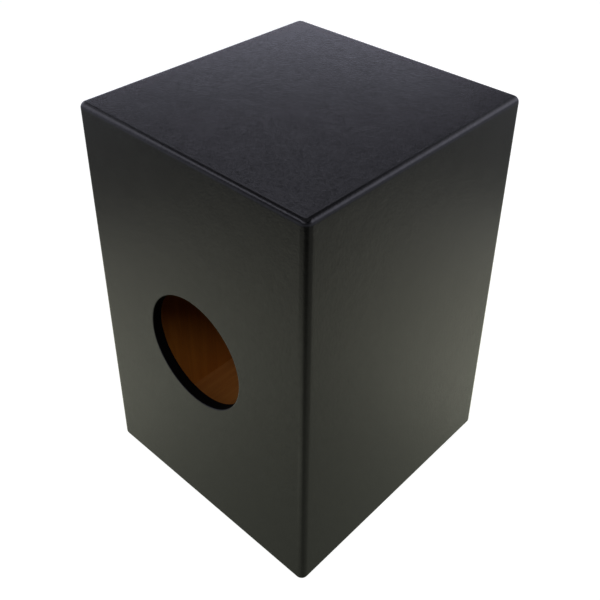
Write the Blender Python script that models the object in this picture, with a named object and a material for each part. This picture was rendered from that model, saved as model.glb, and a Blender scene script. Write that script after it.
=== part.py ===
"""Cajon: a box drum with a thin striking plate, a round sound hole in the back
and two tuned pairs of snare strings behind the plate.

Frame: metres, +Z up, origin on the floor under the middle of the box.
The striking plate faces -Y, the sound hole faces +Y.  Left and right are as
seen by someone who looks at the striking plate: left is -X, right is +X.
"""
import math

import bmesh
import bpy
from mathutils import Matrix, Vector

for old_object in list(bpy.data.objects):
    bpy.data.objects.remove(old_object, do_unlink=True)

# ---------------------------------------------------------------- box dimensions
BODY_W = 0.300            # box width, X
BODY_D = 0.310            # box depth, Y, striking plate included
BODY_H = 0.450            # box height without the feet
EDGE_V = 0.008            # rounding of the four upright edges
EDGE_H = 0.006            # rounding of the edges round the seat and the underside
EDGE_SEGS = 4

FOOT_H = 0.010            # the feet lift the box off the floor
Z0 = FOOT_H               # underside of the box
Z1 = FOOT_H + BODY_H      # playing seat

SEAT_T = 0.015            # panel thicknesses
BASE_T = 0.015
SIDE_T = 0.012
REAR_T = 0.011
PLATE_T = 0.0035          # striking plate, plywood
GAP = 0.0003              # glue or joint gap between neighbours
BATTEN = 0.015            # square section of the inner battens

PLATE_BACK = -BODY_D / 2 + PLATE_T
CARCASS_Y = PLATE_BACK + GAP                 # front edge of panels and front battens
REAR_IN = BODY_D / 2 - REAR_T                # inner face of the rear panel
SIDE_IN = BODY_W / 2 - SIDE_T                # inner face of a side panel
LOW = Z0 + BASE_T                            # top face of the base panel
TOP = Z1 - SEAT_T                            # under face of the seat panel
INNER_LOW = LOW + GAP                        # ends of what stands between base and seat
INNER_HIGH = TOP - GAP
INNER_REAR = REAR_IN - GAP                   # back of what stops at the rear panel
BATTEN_X = SIDE_IN - GAP                     # outer face of an upright batten
CROSS_X = BATTEN_X - BATTEN - GAP            # half length of a level batten
FRONT_BATTEN_BACK = CARCASS_Y + BATTEN

OVERCUT = 0.004           # how far a cutting solid runs past the face it enters or leaves
SLOT_OVERCUT = 0.002      # the same for the string slots
SIDES = (("left", -1), ("right", 1))


# ---------------------------------------------------------------- materials
def material(name, color, roughness, metallic=0.0):
    new = bpy.data.materials.new(name)
    new.use_nodes = True
    shader = new.node_tree.nodes["Principled BSDF"]
    shader.inputs["Base Color"].default_value = (*color, 1.0)
    shader.inputs["Roughness"].default_value = roughness
    shader.inputs["Metallic"].default_value = metallic
    return new


def lacquer(name, roughness):
    return material(name, color=(0.030, 0.030, 0.032), roughness=roughness)


PINE = material("batten_wood", color=(0.43, 0.24, 0.11), roughness=0.75)
BLACK_SCREW = material("screw_black", color=(0.03, 0.03, 0.032), roughness=0.35, metallic=0.9)
BRIGHT = material("bright_steel", color=(0.55, 0.55, 0.56), roughness=0.35, metallic=1.0)
ZINC = material("zinc_steel", color=(0.60, 0.60, 0.58), roughness=0.40, metallic=1.0)
CARRIER_STEEL = material("carrier_steel", color=(0.58, 0.58, 0.57), roughness=0.38, metallic=1.0)
STRING_STEEL = material("string_steel", color=(0.70, 0.70, 0.70), roughness=0.30, metallic=1.0)
TUNING_STEEL = material("tuning_steel", color=(0.06, 0.06, 0.065), roughness=0.35, metallic=1.0)
RUBBER = material("foot_rubber", color=(0.025, 0.025, 0.026), roughness=0.85)


# ---------------------------------------------------------------- helpers
# A "solid" below is an open BMesh; a "piece" is a finished object.
IDENTITY = Matrix.Identity(4)
UP_TO_X = Matrix(((0, 0, 1, 0), (1, 0, 0, 0), (0, 1, 0, 0), (0, 0, 0, 1)))  # (x, y, z) to (z, x, y)


def shade(mesh):
    """Smooth shading with edges over 30 degrees kept sharp."""
    mesh.shade_smooth()
    mesh.set_sharp_from_angle(angle=math.radians(30.0))


def add(name, solid, mat=None, loc=(0, 0, 0), smooth=True):
    """Turn a solid into an object."""
    bmesh.ops.remove_doubles(solid, verts=solid.verts, dist=1e-7)
    bmesh.ops.recalc_face_normals(solid, faces=solid.faces)
    mesh = bpy.data.meshes.new(name)
    solid.to_mesh(mesh)
    solid.free()
    piece = bpy.data.objects.new(name, mesh)
    piece.location = loc
    bpy.context.scene.collection.objects.link(piece)
    if mat is not None:
        mesh.materials.append(mat)
    if smooth:
        shade(mesh)
    return piece


def combine(piece, solid, operation, smooth=True):
    """Boolean a solid with a piece, then bake the result into the piece's mesh."""
    tool = add("cutter", solid, smooth=False)
    boolean = piece.modifiers.new("cut", 'BOOLEAN')
    boolean.operation = operation
    boolean.solver = 'EXACT'
    boolean.object = tool
    bpy.context.view_layer.update()
    depsgraph = bpy.context.evaluated_depsgraph_get()
    mesh = bpy.data.meshes.new_from_object(piece.evaluated_get(depsgraph))
    old = piece.data
    mats = list(old.materials)
    piece.modifiers.clear()
    piece.data = mesh
    mesh.name = piece.name
    bpy.data.meshes.remove(old)
    bpy.data.objects.remove(tool, do_unlink=True)
    mesh.materials.clear()
    for mat in mats:
        mesh.materials.append(mat)
    for polygon in mesh.polygons:
        polygon.material_index = 0
    if smooth:
        shade(mesh)
    return piece


def cut(piece, solid, smooth=True):
    return combine(piece, solid, 'DIFFERENCE', smooth)


def box(low, high, solid=None):
    solid = solid or bmesh.new()
    center = [(a + b) / 2 for a, b in zip(low, high)]
    size = [b - a for a, b in zip(low, high)]
    for vert in bmesh.ops.create_cube(solid, size=1.0)["verts"]:
        vert.co = Vector([c + v * s for c, v, s in zip(center, vert.co, size)])
    return solid


def join_loops(solid, lower, upper):
    """Quads between two closed loops with the same number of vertices."""
    for i in range(len(lower)):
        j = (i + 1) % len(lower)
        solid.faces.new((lower[i], lower[j], upper[j], upper[i]))


def turned(profile, segs, ring=False, solid=None, frame=IDENTITY):
    """Turn a list of (radius, height) about local Z.  An open profile starts and
    ends on the axis; a ring is a closed loop that stays off the axis."""
    solid = solid or bmesh.new()
    rows = []
    for radius, z in profile:
        if radius < 1e-9:
            rows.append([solid.verts.new(frame @ Vector((0, 0, z)))])
            continue
        turns = [2 * math.pi * i / segs for i in range(segs)]
        rows.append([solid.verts.new(frame @ Vector((radius * math.cos(t), radius * math.sin(t), z)))
                     for t in turns])
    pairs = list(zip(rows[:-1], rows[1:]))
    if ring:
        pairs.append((rows[-1], rows[0]))
    for lower, upper in pairs:
        if len(lower) > 1 and len(upper) > 1:
            join_loops(solid, lower, upper)
            continue
        for i in range(segs):
            j = (i + 1) % segs
            if len(lower) == 1:
                solid.faces.new((lower[0], upper[i], upper[j]))
            else:
                solid.faces.new((lower[i], lower[j], upper[0]))
    return solid


def drill(solid, frame, radius, start, end, segs, tip=0.0):
    """Add a rod along the frame's Z, used to cut a hole; tip lengthens it on the axis."""
    return turned([(0, start), (radius, start), (radius, end), (0, end + tip)], segs,
                  solid=solid, frame=frame)


def prism(outline, z_low, z_high, frame=IDENTITY):
    """A closed prism over a flat outline."""
    solid = bmesh.new()
    lower = [solid.verts.new(frame @ Vector((x, y, z_low))) for x, y in outline]
    upper = [solid.verts.new(frame @ Vector((x, y, z_high))) for x, y in outline]
    solid.faces.new(list(reversed(lower)))
    solid.faces.new(upper)
    join_loops(solid, lower, upper)
    return solid


def place(x, y, z):
    return Matrix.Translation((x, y, z))


def facing_front(x, y, z):
    """Frame whose Z points to -Y."""
    return place(x, y, z) @ Matrix.Rotation(math.radians(90), 4, 'X')


def facing_back(x, y, z):
    """Frame whose Z points to +Y."""
    return place(x, y, z) @ Matrix.Rotation(math.radians(-90), 4, 'X')


def cut_cross(piece, arm, z_low, z_high):
    """Cross recess of a screw head; arm is its half length."""
    half = 0.0004                            # half width of an arm
    outline = [(-arm, -half), (-half, -half), (-half, -arm), (half, -arm), (half, -half),
               (arm, -half), (arm, half), (half, half), (half, arm), (-half, arm),
               (-half, half), (-arm, half)]
    cut(piece, prism(outline, z_low, z_high))


def washer(name, r_in, r_out, z_low, z_high, segs, loc):
    profile = [(r_in, z_low), (r_out, z_low), (r_out, z_high), (r_in, z_high)]
    add(name, turned(profile, segs, ring=True), ZINC, loc=loc)


# ---------------------------------------------------------------- panels
HOLE_R = 0.064            # sound hole
HOLE_Z = Z0 + 0.2240      # height of its centre
HOLE_RIM = 0.0015         # rounding of its rim
HOLE_RIM_SEGS = 3
HOLE_SEGS = 64
PANEL_SPARE = 0.010       # extra size of a board before the rounded block trims it


def outer_form():
    """The whole box as one rounded block; every panel is cut from it."""
    solid = bmesh.new()
    arc = [math.pi / 2 * k / EDGE_SEGS for k in range(EDGE_SEGS + 1)]
    levels = [(EDGE_H * (1 - math.sin(a)), Z0 + EDGE_H * (1 - math.cos(a))) for a in arc]
    levels += [(inset, Z0 + Z1 - z) for inset, z in reversed(levels)]
    rows = []
    for inset, z in levels:
        row = []
        radius = EDGE_V - inset
        for quarter, (sign_x, sign_y) in enumerate(((1, 1), (-1, 1), (-1, -1), (1, -1))):
            x = sign_x * (BODY_W / 2 - EDGE_V)
            y = sign_y * (BODY_D / 2 - EDGE_V)
            for a in arc:
                turn = quarter * math.pi / 2 + a
                row.append(solid.verts.new((x + radius * math.cos(turn),
                                            y + radius * math.sin(turn), z)))
        rows.append(row)
    for lower, upper in zip(rows[:-1], rows[1:]):
        join_loops(solid, lower, upper)
    solid.faces.new(list(reversed(rows[0])))
    solid.faces.new(rows[-1])
    return solid


def panel(name, low, high, mat):
    """A flat board that takes the box's rounded edges where it reaches them."""
    box_low = (-BODY_W / 2, -BODY_D / 2, Z0)
    box_high = (BODY_W / 2, BODY_D / 2, Z1)
    low = [c - PANEL_SPARE if abs(c - edge) < 1e-9 else c for c, edge in zip(low, box_low)]
    high = [c + PANEL_SPARE if abs(c - edge) < 1e-9 else c for c, edge in zip(high, box_high)]
    return combine(add(name, box(low, high), mat, smooth=False), outer_form(), 'INTERSECT')


def build_seat():
    panel("seat_panel", (-BODY_W / 2, CARCASS_Y, TOP), (BODY_W / 2, BODY_D / 2, Z1),
          lacquer("seat_lacquer", roughness=0.55))


def build_sides():
    for side, sign in SIDES:
        x_low, x_high = sorted((sign * SIDE_IN, sign * BODY_W / 2))
        panel("side_panel_" + side, (x_low, CARCASS_Y, INNER_LOW),
              (x_high, INNER_REAR, INNER_HIGH), lacquer("side_lacquer_" + side, roughness=0.45))


def build_rear():
    """Rear panel; the sound hole has a rounded rim on both faces."""
    rear = panel("rear_panel", (-BODY_W / 2, REAR_IN, INNER_LOW),
                 (BODY_W / 2, BODY_D / 2, INNER_HIGH), lacquer("rear_lacquer", roughness=0.45))
    beyond = REAR_T / 2 + OVERCUT
    profile = [(0, beyond), (HOLE_R + HOLE_RIM, beyond)]
    for k in range(HOLE_RIM_SEGS + 1):       # from the face down to the wall
        a = math.pi / 2 * k / HOLE_RIM_SEGS
        profile.append((HOLE_R + HOLE_RIM * (1 - math.sin(a)),
                        REAR_T / 2 - HOLE_RIM + HOLE_RIM * math.cos(a)))
    profile += [(radius, -z) for radius, z in reversed(profile)]
    cut(rear, turned(profile, HOLE_SEGS, frame=facing_back(0, REAR_IN + REAR_T / 2, HOLE_Z)))


# ---------------------------------------------------------------- inner battens
def build_battens():
    """Front and rear frames; returns the four front battens by position."""
    spans = {                                # x from, x to, z from, z to
        "left": (-BATTEN_X, BATTEN - BATTEN_X, INNER_LOW, INNER_HIGH),
        "right": (BATTEN_X - BATTEN, BATTEN_X, INNER_LOW, INNER_HIGH),
        "top": (-CROSS_X, CROSS_X, INNER_HIGH - BATTEN, INNER_HIGH),
        "bottom": (-CROSS_X, CROSS_X, INNER_LOW, INNER_LOW + BATTEN),
    }
    fronts = {}
    for key, (x_low, x_high, z_low, z_high) in spans.items():
        fronts[key] = add("front_batten_" + key,
                          box((x_low, CARCASS_Y, z_low), (x_high, FRONT_BATTEN_BACK, z_high)),
                          PINE, smooth=False)
        add("rear_batten_" + key,
            box((x_low, INNER_REAR - BATTEN, z_low), (x_high, INNER_REAR, z_high)),
            PINE, smooth=False)
    return fronts


# ---------------------------------------------------------------- striking plate and its screws
# countersunk wood screws, 3.5 x 16
SHANK_R = 0.00175
PILOT_R = 0.00205         # hole for the shank
PILOT_TIP = 0.0005        # pointed end of a blind hole
HEAD_R = 0.0035
HEAD_EDGE = 0.0002        # chamfer round the top of the head
HEAD_CONE = 0.0019        # depth of the countersunk head
HEAD_PLAY = 0.0004        # room round the head
HEAD_Y = -BODY_D / 2 + 0.00025               # heads sit a little below the face
SCREW_LEN = 0.0160
SCREW_TIP = 0.003
SCREW_ROWS = 5            # screws down each side


def plate_screw_spots():
    """(x, z, front batten) of each screw, from the top down and left to right."""
    side_x = BATTEN_X - BATTEN / 2
    low, high = INNER_LOW + BATTEN / 2, INNER_HIGH - BATTEN / 2
    spots = []
    for i in range(SCREW_ROWS):
        z = low + (high - low) * i / (SCREW_ROWS - 1)
        spots += [(-side_x, z, "left"), (side_x, z, "right")]
    for z, key in ((low, "bottom"), (high, "top")):
        spots += [(-side_x / 3, z, key), (side_x / 3, z, key)]
    return sorted(spots, key=lambda spot: (-round(spot[1], 5), spot[0]))


def build_plate(spots):
    """Striking plate with its countersunk holes."""
    plate = panel("front_plate", (-BODY_W / 2, -BODY_D / 2, Z0), (BODY_W / 2, PLATE_BACK, Z1),
                  lacquer("plate_lacquer", roughness=0.40))
    rim = HEAD_R + HEAD_PLAY
    profile = [(0, 0.002), (rim, 0.002), (rim, -HEAD_EDGE), (PILOT_R, -HEAD_EDGE - HEAD_CONE),
               (PILOT_R, -0.008), (0, -0.008)]
    holes = bmesh.new()
    for x, z, _ in spots:
        turned(profile, 12, solid=holes, frame=facing_front(x, HEAD_Y, z))
    cut(plate, holes)


def drill_front_battens(fronts, spots):
    for key, batten in fronts.items():
        holes = bmesh.new()
        for x, z, target in spots:
            if target == key:
                drill(holes, facing_front(x, HEAD_Y, z), PILOT_R, -0.001, -SCREW_LEN - 0.0004,
                      segs=8, tip=-PILOT_TIP)
        cut(batten, holes, smooth=False)


def build_plate_screws(spots):
    profile = [(0, 0), (HEAD_R - 0.0003, 0), (HEAD_R, -HEAD_EDGE), (SHANK_R, -HEAD_CONE),
               (SHANK_R, -SCREW_LEN + SCREW_TIP), (0, -SCREW_LEN)]
    for n, (x, z, _) in enumerate(spots, 1):
        screw = add("plate_screw_%02d" % n, turned(profile, 12), BLACK_SCREW)
        cut_cross(screw, arm=0.0017, z_low=-0.0011, z_high=0.001)
        screw.matrix_world = facing_front(x, HEAD_Y, z)


# ---------------------------------------------------------------- strings: shared places
STRING_R = 0.00035
STRING_Y = -BODY_D / 2 + 0.0051   # the strings hang just behind the striking plate
SLOT = 0.0008             # half width of a string slot; also its reach behind the string
STRING_EDGE = STRING_Y - SLOT     # front edge of rail and carriers
TUNE_X = 0.060            # tuning screws, left and right of the middle
TUNE_Y = CARCASS_Y + BATTEN / 2   # their axes run up the middle of the bottom batten
LEG_LOW = 0.012           # string pair half spread at the carrier
LEG_TOP = 0.038           # string pair half spread at the rail
CARRIER_Z = Z0 + 0.0500   # underside of the carrier plate, half way up its travel
CARRIER_T = 0.003
RAIL_Z = Z1 - 0.0363      # underside of the rail's lower flange
RAIL_T = 0.002
PIN_OFF = 0.0130          # guide pin, outboard of the tuning screw
# (x at the carrier, x at the rail) of each string, left to right
STRING_XS = [(sign * TUNE_X + leg * LEG_LOW, sign * TUNE_X + leg * LEG_TOP)
             for sign in (-1, 1) for leg in (-1, 1)]


def slot(solid, x, y_front, y_back, z_low, z_high):
    """Cutting box for a slot, open to the front."""
    box((x - SLOT, y_front - SLOT_OVERCUT, z_low - SLOT_OVERCUT),
        (x + SLOT, y_back, z_high + SLOT_OVERCUT), solid)


# ---------------------------------------------------------------- string rail on the top batten
RAIL_HALF = 0.110         # half length
RAIL_H = 0.0185           # height of the upright flange, which stands behind the batten
RAIL_FRONT = FRONT_BATTEN_BACK + GAP         # faces of the upright flange
RAIL_BACK = RAIL_FRONT + RAIL_T
RAIL_SCREW_Z = RAIL_Z + 0.0122
RAIL_SCREW_XS = {"left": -0.086, "middle": 0.0, "right": 0.086}
RAIL_SCREW_PROFILE = [    # radius, height above the underside of the round head
    (0, 0.0021), (0.0018, 0.0020), (0.0029, 0.0014), (0.0034, 0.0), (SHANK_R, 0.0),
    (SHANK_R, -0.0095), (0, -0.0122)]


def rail_screw_frame(x):
    return facing_back(x, RAIL_BACK + GAP, RAIL_SCREW_Z)


def build_rail():
    """Angle section with four string slots and three screw holes."""
    section = [           # y, z
        (STRING_EDGE, RAIL_Z), (RAIL_BACK, RAIL_Z), (RAIL_BACK, RAIL_Z + RAIL_H),
        (RAIL_FRONT, RAIL_Z + RAIL_H), (RAIL_FRONT, RAIL_Z + RAIL_T),
        (STRING_EDGE, RAIL_Z + RAIL_T)]
    rail = add("string_rail", prism(section, -RAIL_HALF, RAIL_HALF, frame=UP_TO_X),
               BRIGHT, smooth=False)
    cuts = bmesh.new()
    for _, x in STRING_XS:
        slot(cuts, x, STRING_EDGE, STRING_Y + SLOT, RAIL_Z, RAIL_Z + RAIL_T)
    for x in RAIL_SCREW_XS.values():
        drill(cuts, rail_screw_frame(x), PILOT_R, OVERCUT, -0.006, segs=12)
    cut(rail, cuts, smooth=False)


def build_rail_screws(top_batten):
    holes = bmesh.new()
    for x in RAIL_SCREW_XS.values():
        drill(holes, rail_screw_frame(x), PILOT_R, OVERCUT, -0.0128, segs=8, tip=-PILOT_TIP)
    cut(top_batten, holes, smooth=False)
    for key, x in RAIL_SCREW_XS.items():
        screw = add("rail_screw_" + key, turned(RAIL_SCREW_PROFILE, 12), ZINC)
        cut_cross(screw, arm=0.0016, z_low=0.0009, z_high=0.004)
        screw.matrix_world = rail_screw_frame(x)


# ---------------------------------------------------------------- base panel and bottom batten
FOOT_X = BODY_W / 2 - 0.033
FOOT_Y = BODY_D / 2 - 0.033
FOOT_SPOTS = {"front_left": (-FOOT_X, -FOOT_Y), "front_right": (FOOT_X, -FOOT_Y),
              "rear_left": (-FOOT_X, FOOT_Y), "rear_right": (FOOT_X, FOOT_Y)}
FOOT_BORE_R = 0.0024      # foot screw hole in the base, the foot and its washer
CBORE_R = 0.0058          # counterbore for the tuning screw head
CBORE_H = 0.0078
TUNE_BORE_R = 0.0029      # clearance hole for the tuning screw


def build_base():
    base = panel("base_panel", (-BODY_W / 2, CARCASS_Y, Z0), (BODY_W / 2, BODY_D / 2, LOW),
                 lacquer("base_lacquer", roughness=0.55))
    holes = bmesh.new()
    for x, y in FOOT_SPOTS.values():
        drill(holes, place(x, y, Z0), FOOT_BORE_R, -OVERCUT, 0.0123, segs=8, tip=PILOT_TIP)
    profile = [(0, -OVERCUT), (CBORE_R, -OVERCUT), (CBORE_R, CBORE_H), (TUNE_BORE_R, CBORE_H),
               (TUNE_BORE_R, BASE_T + OVERCUT), (0, BASE_T + OVERCUT)]
    for _, sign in SIDES:
        turned(profile, 20, solid=holes, frame=place(sign * TUNE_X, TUNE_Y, Z0))
    cut(base, holes)


def drill_bottom_batten(batten):
    """Through holes for the tuning screws, blind holes from above for the guide pins."""
    holes = bmesh.new()
    for _, sign in SIDES:
        drill(holes, place(sign * TUNE_X, TUNE_Y, INNER_LOW), TUNE_BORE_R,
              -OVERCUT, BATTEN + OVERCUT, segs=16)
        drill(holes, place(sign * (TUNE_X + PIN_OFF), TUNE_Y, INNER_LOW), 0.0022,
              BATTEN + OVERCUT, 0.0030, segs=12, tip=-0.0002)
    cut(batten, holes, smooth=False)


# ---------------------------------------------------------------- snare tuning
# Heights in this section are above the underside of the box, where the origins lie.
M5_R = 0.0025             # tuning screw M5 x 0.8
M5_HEAD_R = 0.00425
M5_HEAD_LOW = 0.0009      # underside and top of the head
M5_HEAD_TOP = 0.0059
M5_END = 0.064            # end of the thread
M5_SOCKET_R = 0.00231     # corner radius of the 4 mm hexagon socket
CLIP_Z = GAP + BASE_T + GAP + BATTEN + GAP - GAP + GAP - GAP   # clip stands clear of the batten
CLIP_Z = 2 * GAP + BASE_T + BATTEN + GAP
CLIP_T = 0.0009
CLIP_R_OUT, CLIP_R_IN = 0.0047, 0.00265
CLIP_OPEN = math.radians(35)      # half angle of the opening, which faces +X
CLIP_SEGS = 20
PIN_PROFILE = [           # radius, height
    (0, 0.0185), (0.0015, 0.0185), (0.0019, 0.0190), (0.0019, 0.0655), (0.0015, 0.0660),
    (0, 0.0660)]
CARRIER_IN, CARRIER_OUT = 0.0165, 0.0180     # reach towards and away from the middle of the box
CARRIER_BACK = 0.0072     # reach behind the screw axis
CARRIER_LOW = CARRIER_Z - Z0
BOSS_PROFILE = [          # radius, height above the underside of the carrier plate
    (0, -0.0075), (0.0050, -0.0075), (0.0055, -0.0070), (0.0055, 0.0010), (0, 0.0010)]


def build_tuning_screw(side, loc):
    """Head down in the counterbore, turned by a key from below."""
    profile = [(0, M5_HEAD_LOW), (M5_HEAD_R - 0.0004, M5_HEAD_LOW),
               (M5_HEAD_R, M5_HEAD_LOW + 0.0004), (M5_HEAD_R, M5_HEAD_TOP), (M5_R, M5_HEAD_TOP),
               (M5_R, M5_END - 0.0008), (M5_R - 0.0006, M5_END), (0, M5_END)]
    screw = add("tuning_screw_" + side, turned(profile, 24), TUNING_STEEL)
    hexagon = [(M5_SOCKET_R * math.cos(math.pi / 3 * k), M5_SOCKET_R * math.sin(math.pi / 3 * k))
               for k in range(6)]
    cut(screw, prism(hexagon, -0.001, 0.0037))
    screw.location = loc


def build_clip(side, loc):
    """Open retaining clip above the batten, holds the screw from dropping out."""
    angles = [CLIP_OPEN + (2 * math.pi - 2 * CLIP_OPEN) * k / CLIP_SEGS
              for k in range(CLIP_SEGS + 1)]
    outline = [(CLIP_R_OUT * math.cos(a), CLIP_R_OUT * math.sin(a)) for a in angles]
    outline += [(CLIP_R_IN * math.cos(a), CLIP_R_IN * math.sin(a)) for a in reversed(angles)]
    add("retaining_clip_" + side, prism(outline, CLIP_Z, CLIP_Z + CLIP_T), TUNING_STEEL,
        loc=loc, smooth=False)


def build_carrier(side, sign, loc):
    """String carrier: plate with a long threaded boss under it."""
    front = STRING_EDGE - TUNE_Y
    x_low, x_high = sorted((-sign * CARRIER_IN, sign * CARRIER_OUT))
    carrier = add("string_carrier_" + side,
                  box((x_low, front, CARRIER_LOW),
                      (x_high, CARRIER_BACK, CARRIER_LOW + CARRIER_T)),
                  CARRIER_STEEL, smooth=False)
    boss = turned([(radius, CARRIER_LOW + z) for radius, z in BOSS_PROFILE], 24)
    combine(carrier, boss, 'UNION')
    cuts = bmesh.new()
    drill(cuts, IDENTITY, M5_R + 0.00015, CARRIER_LOW - 0.012, CARRIER_LOW + 0.008, segs=24)
    drill(cuts, place(sign * PIN_OFF, 0, 0), 0.0021, CARRIER_LOW - 0.003, CARRIER_LOW + 0.008,
          segs=12)
    for leg in (-1, 1):
        slot(cuts, leg * LEG_LOW, front, STRING_Y - TUNE_Y + SLOT,
             CARRIER_LOW, CARRIER_LOW + CARRIER_T)
    cut(carrier, cuts)
    carrier.location = loc


def build_tuning():
    for side, sign in SIDES:
        x = sign * TUNE_X
        loc = (x, TUNE_Y, Z0)
        build_tuning_screw(side, loc)
        washer("tuning_washer_" + side, 0.0028, 0.0050, 0.0062, 0.0072, segs=24, loc=loc)
        build_clip(side, loc)
        # the guide pin keeps the carrier from turning
        add("guide_pin_" + side, turned(PIN_PROFILE, 12), BRIGHT,
            loc=(x + sign * PIN_OFF, TUNE_Y, Z0))
        build_carrier(side, sign, loc)


# ---------------------------------------------------------------- strings
FERRULE_R = 0.0012
FERRULE_LEN = 0.0028
FERRULE_EDGE = 0.0002     # chamfer
FERRULE_GAP = 0.0004      # between a ferrule and the part it bears on


def build_strings():
    """Four strings, each with a crimped ferrule under the carrier and one above the rail."""
    ferrule = [           # radius, distance from the ferrule's inner end
        (0, FERRULE_LEN), (FERRULE_R - FERRULE_EDGE, FERRULE_LEN),
        (FERRULE_R, FERRULE_LEN - FERRULE_EDGE), (FERRULE_R, FERRULE_EDGE),
        (FERRULE_R - FERRULE_EDGE, 0), (STRING_R, 0)]
    for n, (x_low, x_top) in enumerate(STRING_XS, 1):
        low = Vector((x_low, STRING_Y, CARRIER_Z))
        span = Vector((x_top, STRING_Y, RAIL_Z + RAIL_T)) - low
        profile = [(radius, -FERRULE_GAP - z) for radius, z in ferrule]
        profile += [(radius, span.length + FERRULE_GAP + z) for radius, z in reversed(ferrule)]
        string = add("snare_string_%d" % n, turned(profile, 8), STRING_STEEL)
        turn = span.normalized().to_track_quat('Z', 'Y').to_matrix().to_4x4()
        string.matrix_world = Matrix.Translation(low) @ turn


# ---------------------------------------------------------------- feet
FOOT_R_TOP = 0.0160
FOOT_R_LOW = 0.0145
FOOT_TOP = FOOT_H - GAP
FOOT_RECESS_R = 0.0051    # recess for the screw head and washer
FOOT_RECESS_H = 0.0055
FOOT_PROFILE = [          # radius, height above the floor
    (FOOT_RECESS_R, 0.0), (FOOT_R_LOW - 0.0008, 0.0), (FOOT_R_LOW, 0.0008),
    (FOOT_R_TOP, FOOT_TOP - 0.0006), (FOOT_R_TOP - 0.0006, FOOT_TOP), (FOOT_BORE_R, FOOT_TOP),
    (FOOT_BORE_R, FOOT_RECESS_H), (FOOT_RECESS_R, FOOT_RECESS_H)]
FOOT_SCREW_PROFILE = [    # radius, height above the floor, head down
    (0, 0.0013), (0.0020, 0.0014), (0.0034, 0.0021), (0.0040, 0.0038), (0.0020, 0.0038),
    (0.0020, 0.0190), (0, 0.0219)]


def build_feet():
    for key, (x, y) in FOOT_SPOTS.items():
        loc = (x, y, 0)
        add("foot_" + key, turned(FOOT_PROFILE, 24, ring=True), RUBBER, loc=loc)
        washer("foot_washer_" + key, FOOT_BORE_R, 0.0046, 0.0041, 0.0052, segs=16, loc=loc)
        screw = add("foot_screw_" + key, turned(FOOT_SCREW_PROFILE, 12), ZINC)
        cut_cross(screw, arm=0.0018, z_low=-0.001, z_high=0.0026)
        screw.location = loc


# ---------------------------------------------------------------- assembly
build_seat()
build_base()
build_sides()
build_rear()
front_battens = build_battens()
screw_spots = plate_screw_spots()
build_plate(screw_spots)
drill_front_battens(front_battens, screw_spots)
build_plate_screws(screw_spots)
build_rail()
build_rail_screws(front_battens["top"])
drill_bottom_batten(front_battens["bottom"])
build_tuning()
build_strings()
build_feet()
bpy.context.view_layer.update()
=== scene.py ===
"""Looks of the cajon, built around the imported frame."""
import math
import bmesh
import bpy
from mathutils import Matrix, Vector


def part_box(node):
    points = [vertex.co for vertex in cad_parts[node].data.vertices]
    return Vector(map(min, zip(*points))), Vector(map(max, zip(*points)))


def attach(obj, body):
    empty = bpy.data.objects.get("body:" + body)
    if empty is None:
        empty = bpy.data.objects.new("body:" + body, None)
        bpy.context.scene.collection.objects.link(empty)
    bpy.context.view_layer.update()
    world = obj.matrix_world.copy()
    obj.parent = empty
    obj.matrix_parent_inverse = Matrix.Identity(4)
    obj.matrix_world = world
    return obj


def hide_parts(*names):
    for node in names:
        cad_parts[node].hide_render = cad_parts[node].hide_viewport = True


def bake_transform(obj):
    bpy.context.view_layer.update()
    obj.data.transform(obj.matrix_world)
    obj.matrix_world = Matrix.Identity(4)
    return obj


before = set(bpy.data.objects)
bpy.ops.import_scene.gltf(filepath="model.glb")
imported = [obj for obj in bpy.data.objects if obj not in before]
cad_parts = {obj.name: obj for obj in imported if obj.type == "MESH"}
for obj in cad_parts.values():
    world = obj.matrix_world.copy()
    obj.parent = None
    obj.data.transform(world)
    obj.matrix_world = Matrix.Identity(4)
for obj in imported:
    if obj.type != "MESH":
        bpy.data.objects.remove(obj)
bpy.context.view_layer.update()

scene = bpy.context.scene
I4 = Matrix.Identity(4)

# ------------------------------------------------------------------ sizes, all from the frame
seat_lo, seat_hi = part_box("seat_panel")
base_lo, base_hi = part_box("base_panel")
rear_lo, rear_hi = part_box("rear_panel")
plate_lo, plate_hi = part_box("front_plate")
W2 = seat_hi.x
Z0, LOW = base_lo.z, base_hi.z
TOP, Z1 = seat_lo.z, seat_hi.z
REAR, REAR_IN = rear_hi.y, rear_lo.y
FRONT, PLATE_BACK = plate_lo.y, plate_hi.y
CARC = seat_lo.y
SIDE_IN = -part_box("side_panel_left")[1].x
EDGE_V, EDGE_H = 0.008, 0.006
HOLE_R, HOLE_RIM = 0.064, 0.0015
HOLE_Z = Z0 + 0.224
GAP = 0.0003


# ------------------------------------------------------------------ mesh helpers
def turn(profile, segs, ring=False, bm=None, phase=0.0, fr=I4, bulge=None):
    """Turn (radius, height) pairs about the local Z of fr."""
    bm = bm or bmesh.new()
    rows = []
    for r, z in profile:
        if r < 1e-9:
            rows.append([bm.verts.new(fr @ Vector((0, 0, z)))])
            continue
        row = []
        for i in range(segs):
            a = phase + 2 * math.pi * i / segs
            q = r + (bulge(a, r, z) if bulge else 0.0)
            row.append(bm.verts.new(fr @ Vector((q * math.cos(a), q * math.sin(a), z))))
        rows.append(row)
    pairs = list(zip(rows[:-1], rows[1:]))
    if ring:
        pairs.append((rows[-1], rows[0]))
    for a, b in pairs:
        for i in range(segs):
            j = (i + 1) % segs
            if len(a) == 1 and len(b) == 1:
                break
            if len(a) == 1:
                bm.faces.new((a[0], b[i], b[j]))
            elif len(b) == 1:
                bm.faces.new((a[i], a[j], b[0]))
            else:
                bm.faces.new((a[i], a[j], b[j], b[i]))
    return bm


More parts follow.
